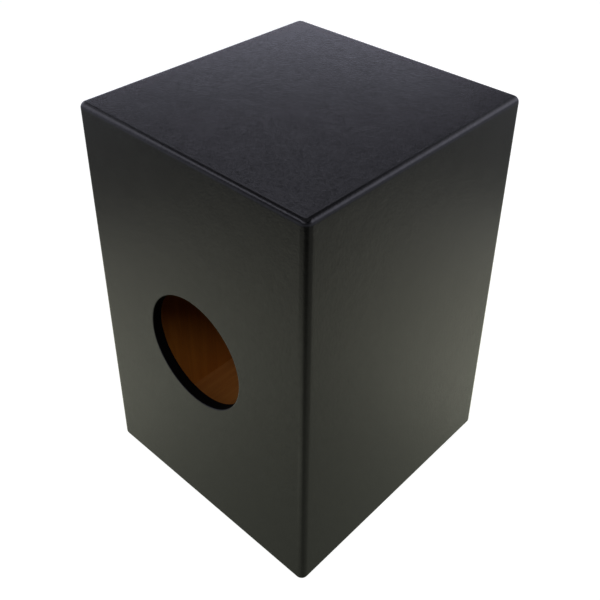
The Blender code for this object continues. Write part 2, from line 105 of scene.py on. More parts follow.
def prism(points, lo, hi, bm=None, fr=I4):
    bm = bm or bmesh.new()
    a = [bm.verts.new(fr @ Vector((x, y, lo))) for x, y in points]
    b = [bm.verts.new(fr @ Vector((x, y, hi))) for x, y in points]
    n = len(points)
    bm.faces.new(list(reversed(a)))
    bm.faces.new(b)
    for i in range(n):
        j = (i + 1) % n
        bm.faces.new((a[i], a[j], b[j], b[i]))
    return bm


def cube(lo, hi, bm=None):
    bm = bm or bmesh.new()
    got = bmesh.ops.create_cube(bm, size=1.0)["verts"]
    for v in got:
        v.co = Vector([(a + b) / 2 + c * (b - a) for a, b, c in zip(lo, hi, v.co)])
    return bm


def arc(cx, cy, r, a0, a1, n):
    """Points of a circular fillet in a profile, angles in degrees."""
    out = []
    for k in range(n + 1):
        a = math.radians(a0 + (a1 - a0) * k / n)
        out.append((cx + r * math.cos(a), cy + r * math.sin(a)))
    return out


def soften(me, angle=32.0, weighted=True):
    me.shade_smooth()
    me.set_sharp_from_angle(angle=math.radians(angle))


def piece(name, bm, mats, body, nodes, angle=32.0, merge=2e-7, wn=True):
    bmesh.ops.remove_doubles(bm, verts=bm.verts, dist=merge)
    bmesh.ops.recalc_face_normals(bm, faces=bm.faces)
    me = bpy.data.meshes.new(name)
    bm.to_mesh(me)
    bm.free()
    ob = bpy.data.objects.new(name, me)
    scene.collection.objects.link(ob)
    for m in (mats if isinstance(mats, (list, tuple)) else [mats]):
        me.materials.append(m)
    soften(me, angle)
    if wn:
        w = ob.modifiers.new("normals", 'WEIGHTED_NORMAL')
        w.keep_sharp = True
        w.weight = 90
    if body:
        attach(ob, body)
    if nodes:
        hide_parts(*([nodes] if isinstance(nodes, str) else nodes))
    return ob


def boolean(ob, bm, how='DIFFERENCE', angle=32.0):
    """Cut ob (still at the origin) by the closed shapes in bm, and bake it."""
    bmesh.ops.remove_doubles(bm, verts=bm.verts, dist=1e-7)
    bmesh.ops.recalc_face_normals(bm, faces=bm.faces)
    me = bpy.data.meshes.new("cut")
    bm.to_mesh(me)
    bm.free()
    tool = bpy.data.objects.new("cut", me)
    scene.collection.objects.link(tool)
    kept = [(m.name, m.type) for m in ob.modifiers]
    ob.modifiers.clear()
    mod = ob.modifiers.new("cut", 'BOOLEAN')
    mod.operation, mod.solver, mod.object = how, 'EXACT', tool
    bpy.context.view_layer.update()
    new = bpy.data.meshes.new_from_object(ob.evaluated_get(bpy.context.evaluated_depsgraph_get()))
    old, mats = ob.data, list(ob.data.materials)
    ob.modifiers.clear()
    ob.data = new
    new.name = ob.name
    bpy.data.meshes.remove(old)
    bpy.data.objects.remove(tool, do_unlink=True)
    bpy.data.meshes.remove(me)
    new.materials.clear()
    for m in mats:
        new.materials.append(m)
    soften(new, angle)
    if any(t == 'WEIGHTED_NORMAL' for _, t in kept):
        w = ob.modifiers.new("normals", 'WEIGHTED_NORMAL')
        w.keep_sharp, w.weight = True, 90
    return ob


def paint_faces(ob, rule):
    """Material index of each face from its centre and normal."""
    for p in ob.data.polygons:
        p.material_index = rule(p.center, p.normal)


def cross(w, l, chamfer=0.0):
    return [(-l, -w), (-w, -w), (-w, -l), (w, -l), (w, -w), (l, -w), (l, w), (w, w), (w, l), (-w, l), (-w, w), (-l, w)]


# ------------------------------------------------------------------ material helpers
class Nodes:
    """Small helper that wires shader nodes in code."""

    def __init__(self, name):
        self.m = bpy.data.materials.new(name)
        self.m.use_nodes = True
        self.t = self.m.node_tree
        self.bsdf = self.t.nodes["Principled BSDF"]
        self.co = self.new("ShaderNodeTexCoord").outputs["Object"]

    def new(self, kind, **props):
        n = self.t.nodes.new(kind)
        for k, v in props.items():
            setattr(n, k, v)
        return n

    def link(self, a, b):
        self.t.links.new(a, b)

    def put(self, socket, v):
        if hasattr(v, "is_output"):
            self.link(v, socket)
        else:
            socket.default_value = v

    def scale(self, sx, sy, sz, src=None, rot=(0, 0, 0)):
        n = self.new("ShaderNodeMapping")
        n.inputs["Scale"].default_value = (sx, sy, sz)
        n.inputs["Rotation"].default_value = rot
        self.link(src or self.co, n.inputs["Vector"])
        return n.outputs[0]

    def noise(self, scale, detail=3.0, rough=0.5, src=None, distort=0.0, out="Fac"):
        n = self.new("ShaderNodeTexNoise")
        n.inputs["Scale"].default_value = scale
        n.inputs["Detail"].default_value = detail
        n.inputs["Roughness"].default_value = rough
        n.inputs["Distortion"].default_value = distort
        self.link(src or self.co, n.inputs["Vector"])
        return n.outputs[out]

    def voronoi(self, scale, src=None, feature='F1', out="Distance", smooth=None, rand=1.0):
        n = self.new("ShaderNodeTexVoronoi", feature=feature)
        n.inputs["Scale"].default_value = scale
        n.inputs["Randomness"].default_value = rand
        if smooth is not None:
            n.inputs["Smoothness"].default_value = smooth
        self.link(src or self.co, n.inputs["Vector"])
        return n.outputs[out]

    def math(self, op, a, b=0.0, c=0.0, clamp=False):
        n = self.new("ShaderNodeMath", operation=op, use_clamp=clamp)
        self.put(n.inputs[0], a)
        self.put(n.inputs[1], b)
        self.put(n.inputs[2], c)
        return n.outputs[0]

    def remap(self, v, a, b, c, d, smooth=False):
        n = self.new("ShaderNodeMapRange", interpolation_type='SMOOTHSTEP' if smooth else 'LINEAR')
        self.put(n.inputs["Value"], v)
        for k, x in zip(("From Min", "From Max", "To Min", "To Max"), (a, b, c, d)):
            n.inputs[k].default_value = x
        return n.outputs["Result"]

    def ramp(self, v, stops):
        n = self.new("ShaderNodeValToRGB")
        e = n.color_ramp.elements
        while len(e) > 1:
            e.remove(e[-1])
        e[0].position, e[0].color = stops[0][0], (*stops[0][1], 1)
        for p, c in stops[1:]:
            x = e.new(p)
            x.color = (*c, 1)
        self.put(n.inputs[0], v)
        return n.outputs[0]

    def mix(self, f, a, b, kind='MIX'):
        n = self.new("ShaderNodeMix", data_type='RGBA', blend_type=kind)
        self.put(n.inputs[0], f)
        self.put(n.inputs[6], (*a, 1) if isinstance(a, tuple) else a)
        self.put(n.inputs[7], (*b, 1) if isinstance(b, tuple) else b)
        return n.outputs[2]

    def bump(self, h, strength, dist, base=None):
        n = self.new("ShaderNodeBump")
        n.inputs["Strength"].default_value = strength
        n.inputs["Distance"].default_value = dist
        self.link(h, n.inputs["Height"])
        if base is not None:
            self.link(base, n.inputs["Normal"])
        return n.outputs[0]

    def set(self, **kw):
        for k, v in kw.items():
            s = self.bsdf.inputs[k.replace("_", " ")]
            self.put(s, (*v, 1) if isinstance(v, tuple) and len(v) == 3 else v)
        return self.m


def lacquer(name, pebble=1.0, peel=1.0, grain=0.0, rough=0.2, even=0.8, mottle=0.03, broad=0.02, coarse=1.3, level=0.45):
    """Satin black structure paint: pebbled skin, soft waves, dust and faint rubs."""
    n = Nodes(name)
    # pebbles of about a millimetre and a half, with a finer stipple between them
    p1 = n.voronoi(640.0, feature='SMOOTH_F1', smooth=0.7)
    p2 = n.noise(1500.0, 2.0, 0.5)
    p3 = n.noise(330.0, 3.0, 0.55)
    patch = n.remap(n.noise(60.0, 3.0, 0.55), 0.35, 0.65, even, 1.0)
    h1 = n.math('MULTIPLY', n.math('ADD', n.math('MULTIPLY', p1, -0.7),
                                   n.math('ADD', n.math('MULTIPLY', p2, 0.45), n.math('MULTIPLY', p3, coarse))), patch)
    b1 = n.bump(h1, min(1.0, 0.15 * pebble), 0.00045)
    # slow waves of sprayed lacquer over sanded board
    w = n.math('ADD', n.noise(95.0, 2.0, 0.5), n.math('MULTIPLY', n.noise(22.0, 2.0, 0.5), 1.2))
    b2 = n.bump(w, min(1.0, 0.07 * peel), 0.0009, base=b1)
    if grain:
        g = n.noise(1.0, 4.0, 0.6, src=n.scale(620.0, 620.0, 16.0))
        b2 = n.bump(g, grain, 0.0003, base=b2)
    r = n.math('ADD', n.remap(n.noise(55.0, 4.0, 0.6), 0.3, 0.7, rough - 0.016, rough + 0.016),
               n.math('MULTIPLY', n.noise(900.0, 2.0, 0.5), 0.03))
    # hairline rubs
    s1 = n.noise(1.0, 2.0, 0.5, src=n.scale(30.0, 900.0, 900.0, rot=(0.3, 0.5, 0.9)))
    s1 = n.remap(s1, 0.70, 0.76, 0.0, 1.0)
    r = n.math('ADD', r, n.math('MULTIPLY', s1, 0.03))
    # dust: few, tiny, pale
    d = n.voronoi(140.0)
    keep = n.math('GREATER_THAN', n.noise(33.0, 1.0), 0.60)
    dust = n.math('MULTIPLY', n.math('LESS_THAN', d, 0.028), keep)
    tone = n.ramp(n.noise(9.0, 3.0, 0.55), [(0.35, (0.0007, 0.0007, 0.0008)), (0.65, (0.0012, 0.0012, 0.0013))])
    col = n.mix(n.math('MULTIPLY', dust, 0.35), tone, (0.035, 0.035, 0.034))
    # light caught between the pebbles: a fine mottling of the shine, and a broader, weaker one
    m1 = n.remap(n.noise(340.0, 3.0, 0.7), 0.34, 0.66, -mottle, mottle)
    m2 = n.remap(n.voronoi(600.0, feature='SMOOTH_F1', smooth=0.4), 0.15, 0.75, mottle * 0.6, -mottle * 0.8)
    m3 = n.remap(n.noise(75.0, 4.0, 0.6), 0.35, 0.65, -broad, broad)
    spec = n.math('ADD', n.math('ADD', m1, m2), n.math('ADD', m3, level), clamp=True)
    n.set(Base_Color=col, Roughness=r, Normal=b2, IOR=1.50, Specular_IOR_Level=spec)
    return n.m


def soaked_edge(name):
    """Black paint sunk into the cut edge of the board: dull, with the board's layers just showing."""
    n = Nodes(name)
    ply = n.noise(1.0, 2.0, 0.5, src=n.scale(60.0, 1900.0, 60.0))
    fine = n.noise(1400.0, 3.0, 0.6)
    n.set(Base_Color=n.ramp(ply, [(0.35, (0.0010, 0.0009, 0.0009)), (0.65, (0.0022, 0.0019, 0.0018))]),
          Roughness=n.remap(fine, 0.3, 0.7, 0.70, 0.85), Specular_IOR_Level=0.03,
          Normal=n.bump(n.math('ADD', ply, fine), 0.4, 0.0002))
    return n.m


def board(name, along="z", light=(0.53, 0.190, 0.030), dark=(0.39, 0.122, 0.017), rough=0.62):
    """Bare reddish board: long fibres, slow figure and pores."""
    n = Nodes(name)
    st = {"z": (1.0, 1.0, 0.045), "y": (1.0, 0.045, 1.0), "x": (0.045, 1.0, 1.0)}[along]
    fig = n.noise(26.0, 3.0, 0.55, src=n.scale(*st), distort=0.8)
    rings = n.math('FRACT', n.math('MULTIPLY', fig, 7.0))
    rings = n.remap(n.math('ABSOLUTE', n.math('SUBTRACT', rings, 0.5)), 0.0, 0.5, 0.0, 1.0, smooth=True)
    fib = n.noise(900.0, 3.0, 0.65, src=n.scale(*st))
    por = n.remap(n.noise(1600.0, 2.0, 0.5, src=n.scale(*st)), 0.62, 0.72, 0.0, 1.0)
    f = n.math('ADD', n.math('MULTIPLY', rings, 0.28), n.math('MULTIPLY', fib, 0.72), clamp=True)
    c = n.ramp(f, [(0.15, dark), (0.5, tuple(0.5 * (a + b) for a, b in zip(light, dark))), (0.85, light)])
    c = n.mix(n.math('MULTIPLY', por, 0.45), c, tuple(0.5 * x for x in dark))
    hgt = n.math('SUBTRACT', fib, n.math('MULTIPLY', por, 0.8))
    n.set(Base_Color=c, Roughness=n.remap(fib, 0.3, 0.7, rough - 0.06, rough + 0.08),
          Normal=n.bump(hgt, 0.35, 0.0002))
    return n.m


def metal(name, color, rough, fine=1.0, tint=(1.0, 1.0, 1.0), brush=None, spots=0.0):
    n = Nodes(name)
    st = brush or (1.0, 1.0, 1.0)
    g = n.noise(2600.0, 3.0, 0.6, src=n.scale(*st))
    big = n.noise(180.0, 3.0, 0.5)
    c = n.mix(n.remap(big, 0.3, 0.7, 0.0, 1.0), tuple(0.80 * x for x in color), tuple(min(1, x * t) for x, t in zip(color, tint)))
    if spots:
        s = n.remap(n.noise(420.0, 4.0, 0.6), 0.60, 0.72, 0.0, spots)
        c = n.mix(s, c, tuple(0.45 * x for x in color))
    r = n.math('ADD', n.remap(g, 0.3, 0.7, rough - 0.07, rough + 0.09), n.math('MULTIPLY', big, 0.05))
    n.set(Base_Color=c, Metallic=1.0, Roughness=r, Normal=n.bump(g, 0.18 * fine, 0.00012))
    return n.m


def rubber_mat(name):
    n = Nodes(name)
    g = n.noise(1500.0, 3.0, 0.6)
    b = n.noise(60.0, 3.0, 0.5)
    c = n.mix(n.remap(b, 0.35, 0.7, 0.0, 1.0), (0.018, 0.018, 0.019), (0.034, 0.033, 0.032))
    n.set(Base_Color=c, Roughness=n.remap(b, 0.3, 0.7, 0.66, 0.85), Normal=n.bump(g, 0.5, 0.00025))
    n.bsdf.inputs["Specular IOR Level"].default_value = 0.35
    return n.m


M_BODY = lacquer("M_body_lacquer", pebble=1.3, peel=0.9, rough=0.205, mottle=0.05, broad=0.014, coarse=0.8)
M_SEAT = lacquer("M_seat_lacquer", pebble=1.8, peel=0.9, rough=0.182, even=0.94, mottle=0.125, broad=0.03, coarse=0.5, level=0.41)
M_HOLE = soaked_edge("M_hole_edge")
M_PLATE = lacquer("M_plate_lacquer", pebble=1.3, peel=1.0, grain=0.08, rough=0.21)
M_IN_Z = board("M_board_upright", "z")
M_IN_Y = board("M_board_flat", "y", light=(0.42, 0.165, 0.040), dark=(0.31, 0.108, 0.024))
M_PLY = board("M_plate_back", "z", light=(0.50, 0.30, 0.15), dark=(0.36, 0.20, 0.095))
M_BAT = {a: board("M_batten_" + a, a, light=(0.52, 0.31, 0.15), dark=(0.36, 0.19, 0.085), rough=0.7) for a in "xz"}
M_BLACK = metal("M_black_oxide", (0.045, 0.045, 0.048), 0.38, spots=0.3)
M_ZINC = metal("M_zinc", (0.60, 0.60, 0.585), 0.34, tint=(1.08, 1.04, 0.92), spots=0.25)
M_NICKEL = metal("M_nickel", (0.56, 0.555, 0.545), 0.30, brush=(0.03, 1.0, 1.0))
M_WIRE = metal("M_string_wire", (0.66, 0.64, 0.60), 0.28)
M_RUBBER = rubber_mat("M_rubber")


# ------------------------------------------------------------------ lacquered panels
def block(segs=10):
    """The whole rounded box; each panel is sliced from it, so neighbours meet without a step."""
    bm = bmesh.new()
    quarter = [math.pi / 2 * k / segs for k in range(segs + 1)]
    levels = [(EDGE_H * (1 - math.sin(a)), Z0 + EDGE_H * (1 - math.cos(a))) for a in quarter]
    levels += [(i, Z0 + Z1 - z) for i, z in reversed(levels)]
    rows = []
    for inset, z in levels:
        row = []
        for q, (sx, sy) in enumerate(((1, 1), (-1, 1), (-1, -1), (1, -1))):
            cx, cy = sx * (W2 - EDGE_V), sy * (REAR - EDGE_V)
            row += [bm.verts.new((cx + (EDGE_V - inset) * math.cos(q * math.pi / 2 + a),
                                  cy + (EDGE_V - inset) * math.sin(q * math.pi / 2 + a), z)) for a in quarter]
        rows.append(row)
    n = len(rows[0])
    for a, b in zip(rows[:-1], rows[1:]):
        for i in range(n):
            j = (i + 1) % n
            bm.faces.new((a[i], a[j], b[j], b[i]))
    bm.faces.new(list(reversed(rows[0])))
    bm.faces.new(rows[-1])
    return bm


def slice_off(bm, co, no):
    """Drop what lies on the side no points to, and close the cut."""
    geom = bm.verts[:] + bm.edges[:] + bm.faces[:]
    bmesh.ops.bisect_plane(bm, geom=geom, plane_co=co, plane_no=no, clear_outer=True, dist=1e-7)
    rim = [e for e in bm.edges if e.is_boundary]
    bmesh.ops.holes_fill(bm, edges=rim, sides=0)
    return bm


def inside(c, n):
    return (abs(c.x) < SIDE_IN + 1e-5 and CARC - 1e-5 < c.y < REAR_IN + 1e-5 and LOW - 1e-5 < c.z < TOP + 1e-5)


bm = slice_off(slice_off(block(), (0, 0, TOP), (0, 0, -1)), (0, CARC, 0), (0, -1, 0))
seat = piece("seat", bm, [M_SEAT, M_IN_Y, M_BODY], "box", "seat_panel")
paint_faces(seat, lambda c, n: 1 if n.z < -0.9 and c.z < TOP + 1e-4 else 0 if n.z > 0.999 else 2)

bm = slice_off(slice_off(block(), (0, 0, LOW), (0, 0, 1)), (0, CARC, 0), (0, -1, 0))
base = piece("base", bm, [M_BODY, M_IN_Y], "box", "base_panel")
bm = bmesh.new()
feet = {k: [sum(v) / 2 for v in zip(*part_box("foot_" + k))][:2] for k in ("front_left", "front_right", "rear_left", "rear_right")}
for x, y in feet.values():
    turn([(0, -0.004), (0.0028, -0.004), (0.0028, 0.0), (0.0024, 0.0004), (0.0024, 0.0123), (0, 0.0128)], 32, bm=bm,
         fr=Matrix.Translation((x, y, Z0)))
tune = {s: [sum(v) / 2 for v in zip(*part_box("tuning_screw_" + s))][:2] for s in ("left", "right")}
for x, y in tune.values():
    turn([(0, -0.004), (0.0064, -0.004), (0.0064, 0.0)] + arc(0.0064, 0.0006, 0.0006, -90, -180, 4)[1:] +
         [(0.0058, 0.0078), (0.0029, 0.0078), (0.0029, 0.0145), (0.0033, 0.0150), (0.0033, 0.019), (0, 0.019)], 48, bm=bm,
         fr=Matrix.Translation((x, y, Z0)))
boolean(base, bm)
paint_faces(base, lambda c, n: 1 if (n.z > 0.9 and c.z > LOW - 1e-4) or
            (c.z > Z0 + 0.0079 and abs(c.x) < 0.1 and c.y < -0.12 and c.z < LOW - 1e-5) else 0)

for side, s in (("left", -1), ("right", 1)):
    bm = slice_off(block(), (0, 0, TOP), (0, 0, 1))
    slice_off(bm, (0, 0, LOW), (0, 0, -1))
    slice_off(bm, (0, CARC, 0), (0, -1, 0))
    slice_off(bm, (0, REAR_IN, 0), (0, 1, 0))
    slice_off(bm, (s * SIDE_IN, 0, 0), (-s, 0, 0))
    ob = piece("side_" + side, bm, [M_BODY, M_IN_Z], "box", "side_panel_" + side)
    paint_faces(ob, lambda c, n: 1 if abs(c.x) < SIDE_IN + 1e-4 and abs(n.x) > 0.9 else 0)

bm = slice_off(slice_off(block(), (0, 0, TOP), (0, 0, 1)), (0, 0, LOW), (0, 0, -1))
slice_off(bm, (0, REAR_IN, 0), (0, -1, 0))
rear = piece("rear", bm, [M_BODY, M_IN_Z, M_HOLE], "box", "rear_panel")
t = REAR - REAR_IN
h = t / 2
prof = [(0, h + 0.003), (HOLE_R + HOLE_RIM, h + 0.003)]
prof += arc(HOLE_R + HOLE_RIM, h - HOLE_RIM, HOLE_RIM, 90, 180, 8)
prof += arc(HOLE_R + 0.0010, -h + 0.0010, 0.0010, 180, 270, 5)
prof += [(HOLE_R + 0.0010, -h - 0.003), (0, -h - 0.003)]
boolean(rear, turn(prof, 160, fr=Matrix.Translation((0, REAR_IN + h, HOLE_Z)) @ Matrix.Rotation(math.radians(-90), 4, 'X')))
paint_faces(rear, lambda c, n: 1 if n.y < -0.9 and c.y < REAR_IN + 1e-4 else
            2 if n.y < 0.7 and math.hypot(c.x, c.z - HOLE_Z) < HOLE_R + HOLE_RIM + 0.001 else 0)

# ------------------------------------------------------------------ striking plate
bm = slice_off(block(), (0, PLATE_BACK, 0), (0, 1, 0))
plate = piece("striking_plate", bm, [M_PLATE, M_PLY], "box", "front_plate")
screws = {}
for n in sorted(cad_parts):
    if n.startswith("plate_screw_"):
        a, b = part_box(n)
        screws[n] = ((a.x + b.x) / 2, a.y, (a.z + b.z) / 2)


def face_out(x, y, z):
    """Z points out of the front."""
    return Matrix.Translation((x, y, z)) @ Matrix.Rotation(math.radians(90), 4, 'X')


bm = bmesh.new()
for x, y, z in screws.values():
    turn([(0, 0.003), (0.0042, 0.003), (0.0042, 0.00025), (0.0040, 0.00005), (0.0038, -0.0003), (0.0021, -0.0021), (0.0021, -0.007), (0, -0.007)],
         40, bm=bm, fr=face_out(x, y, z))
boolean(plate, bm)
paint_faces(plate, lambda c, n: 1 if (n.y > 0.9 and c.y > PLATE_BACK - 1e-4) or (c.y > FRONT + 0.0024 and abs(c.x) < 0.14 and c.y < PLATE_BACK - 1e-5 and Z0 + 0.012 < c.z < Z1 - 0.012) else 0)


def thread(core, crest, z0, z1, pitch, segs, per=8, taper_in=1.0, taper_out=1.0, hand=1):
    """(rows of radii) of a cut thread between two heights, as a bulge function and its heights."""
    count = max(2, int(round(abs(z1 - z0) / pitch * per)))
    zs = [z0 + (z1 - z0) * k / count for k in range(count + 1)]

    def radius(a, z):
        ph = (hand * a / (2 * math.pi) + z / pitch) % 1.0
        tri = 1.0 - abs(2.0 * ph - 1.0)
        k = min(1.0, abs(z - z0) / (taper_in * pitch), abs(z1 - z) / (taper_out * pitch))
        return core + (crest - core) * max(0.0, min(1.0, (tri - 0.12) / 0.76)) * k
    return zs, radius


def threaded(head, core, crest, z0, z1, pitch, tail, segs, fr=I4, per=8, bm=None, ti=1.0, to=1.0):
    """Lathe with a threaded stretch: head profile, thread from z0 to z1, tail profile."""
    zs, rad = thread(core, crest, z0, z1, pitch, segs, per, ti, to)
    prof = list(head) + [(core, z) for z in zs] + list(tail)
    lo, hi = min(z0, z1), max(z0, z1)

    def bulge(a, r, z):
        return rad(a, z) - core if abs(r - core) < 1e-9 and lo - 1e-9 <= z <= hi + 1e-9 else 0.0
    return turn(prof, segs, bm=bm, fr=fr, bulge=bulge)


def cross_cut(w, l, depth, top):
    """Tapered cross recess, cut into a head whose face is at height top."""
    bm = bmesh.new()
    a = [bm.verts.new((x, y, top + 0.001)) for x, y in cross(w * 1.12, l * 1.12)]
    b = [bm.verts.new((x, y, top - depth)) for x, y in cross(w * 0.72, l * 0.42)]
    bm.faces.new(a)
    bm.faces.new(list(reversed(b)))
    for i in range(12):
        j = (i + 1) % 12
        bm.faces.new((a[j], a[i], b[i], b[j]))
    return bm


def wood_screw(name, node, fr, spin, head, core, crest, z0, z1, pitch, tail, mat, recess):
    bm = threaded(head, core, crest, z0, z1, pitch, tail, 28, per=7)
    ob = piece(name, bm, mat, None, None, angle=40, wn=False)
    boolean(ob, cross_cut(*recess), angle=40)
    ob.data.transform(fr @ Matrix.Rotation(spin, 4, 'Z'))
    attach(ob, "box")
    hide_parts(node)
    return ob


PS = 0.0035
for k, (n, (x, y, z)) in enumerate(screws.items()):
    head = [(0, 0.0)] + [(PS - 0.00028, 0.0), (PS - 0.0001, -0.00006), (PS, -0.00022), (PS - 0.0002, -0.00045), (0.0018, -0.0019)]
    tail = [(0.0009, -0.0146), (0.00035, -0.0157), (0, -0.0160)]
    wood_screw("front_" + n, n, face_out(x, y, z), 0.35 + 1.9 * k, head, 0.00118, 0.00173, -0.0030, -0.0138, 0.0016, tail,
               M_BLACK, (0.00036, 0.0018, 0.0013, 0.0))

# ------------------------------------------------------------------ battens
def batten(node, axis):
    lo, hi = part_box(node)
    bm = cube(lo, hi)
    bmesh.ops.bevel(bm, geom=list(bm.edges), offset=0.0007, segments=3, profile=0.5, affect='EDGES', offset_type='OFFSET')
    return piece(node.replace("batten", "rail_wood"), bm, M_BAT[axis], "box", node)


bats = {}
for n in sorted(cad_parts):
    if "batten" in n:
        bats[n] = batten(n, "z" if n.endswith(("left", "right")) else "x")
for n, ob in bats.items():
    if not n.startswith("front"):
        continue
    lo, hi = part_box(n)
    bm = bmesh.new()
    some = False
    for x, y, z in screws.values():
        if lo.x < x < hi.x and lo.z < z < hi.z:
            turn([(0, 0.0), (0.00205, 0.0), (0.00205, -0.0164), (0, -0.0169)], 20, bm=bm, fr=face_out(x, y, z))
            some = True
    if n.endswith("top"):
        for m in ("left", "middle", "right"):
            a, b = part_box("rail_screw_" + m)
            turn([(0, 0.0), (0.00205, 0.0), (0.00205, 0.016), (0, 0.016)], 20, bm=bm,
                 fr=Matrix.Translation(((a.x + b.x) / 2, hi.y + 0.003, (a.z + b.z) / 2)) @ Matrix.Rotation(math.radians(90), 4, 'X'))
    if n.endswith("bottom"):
        for s in ("left", "right"):
            x, y = tune[s]
            turn([(0, -0.003), (0.0029, -0.003), (0.0029, 0.019), (0, 0.019)], 32, bm=bm, fr=Matrix.Translation((x, y, lo.z)))
            a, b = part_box("guide_pin_" + s)
            turn([(0, 0.0028), (0.0022, 0.0030), (0.0022, 0.019), (0, 0.019)], 24, bm=bm, fr=Matrix.Translation(((a.x + b.x) / 2, y, lo.z)))
    boolean(ob, bm)

# ------------------------------------------------------------------ string rail
lo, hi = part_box("string_rail")
RT = 0.002
fr_rail = Matrix(((0, 0, 1, 0), (1, 0, 0, 0), (0, 1, 0, 0), (0, 0, 0, 1)))
outline = [(lo.y, lo.z)] + arc(hi.y - 0.0022, lo.z + 0.0022, 0.0022, -90, 0, 6) + [(hi.y, hi.z), (hi.y - RT, hi.z)] + \
    [(hi.y - RT, lo.z + RT + 0.0004), (hi.y - RT - 0.0004, lo.z + RT)] + [(lo.y, lo.z + RT)]
bm = prism(outline, lo.x, hi.x, fr=fr_rail)
bmesh.ops.bevel(bm, geom=[e for e in bm.edges if e.calc_face_angle(0) > 1.0], offset=0.00025, segments=2, profile=0.5, affect='EDGES')
rail = piece("string_rail_steel", bm, M_NICKEL, "box", "string_rail")
strings = {}
for k in range(1, 5):
    n = "snare_string_%d" % k
    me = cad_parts[n].data
    zs = [v.co.z for v in me.vertices]
    za, zb = min(zs), max(zs)
    low = [v.co for v in me.vertices if v.co.z < za + 0.0008]
    top = [v.co for v in me.vertices if v.co.z > zb - 0.0008]
    strings[n] = (sum(low, Vector()) / len(low), sum(top, Vector()) / len(top))
bm = bmesh.new()
for a, b in strings.values():
    d = b - a
    x = a.x + d.x * ((lo.z + RT / 2 - a.z) / d.z)
    cube((x - 0.0008, lo.y - 0.003, lo.z - 0.002), (x + 0.0008, lo.y + 0.0016, lo.z + RT + 0.002), bm)
    turn([(0, -0.002), (0.0008, -0.002), (0.0008, RT + 0.002), (0, RT + 0.002)], 16, bm=bm, fr=Matrix.Translation((x, lo.y + 0.0016, lo.z)))
boolean(rail, bm)
bm = bmesh.new()
for m in ("left", "middle", "right"):
    a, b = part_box("rail_screw_" + m)
    turn([(0, -0.006), (0.0021, -0.006), (0.0021, 0.006), (0, 0.006)], 24, bm=bm,
         fr=Matrix.Translation(((a.x + b.x) / 2, hi.y, (a.z + b.z) / 2)) @ Matrix.Rotation(math.radians(90), 4, 'X'))
boolean(rail, bm)
for k, m in enumerate(("left", "middle", "right")):
    a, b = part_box("rail_screw_" + m)
    fr = Matrix.Translation(((a.x + b.x) / 2, b.y - 0.0021, (a.z + b.z) / 2)) @ Matrix.Rotation(math.radians(-90), 4, 'X')
    head = [(0, 0.0021), (0.0012, 0.00206), (0.0023, 0.0018), (0.0030, 0.0012), (0.0034, 0.0003), (0.00335, 0.0), (0.0017, 0.0)]
    wood_screw("steel_rail_screw_" + m, "rail_screw_" + m, fr, 0.5 + 1.3 * k, head, 0.00118, 0.00173, -0.0006, -0.0104, 0.0014,
               [(0.0009, -0.0110), (0.00035, -0.0119), (0, -0.0122)], M_ZINC, (0.00036, 0.0016, 0.0012, 0.00206))

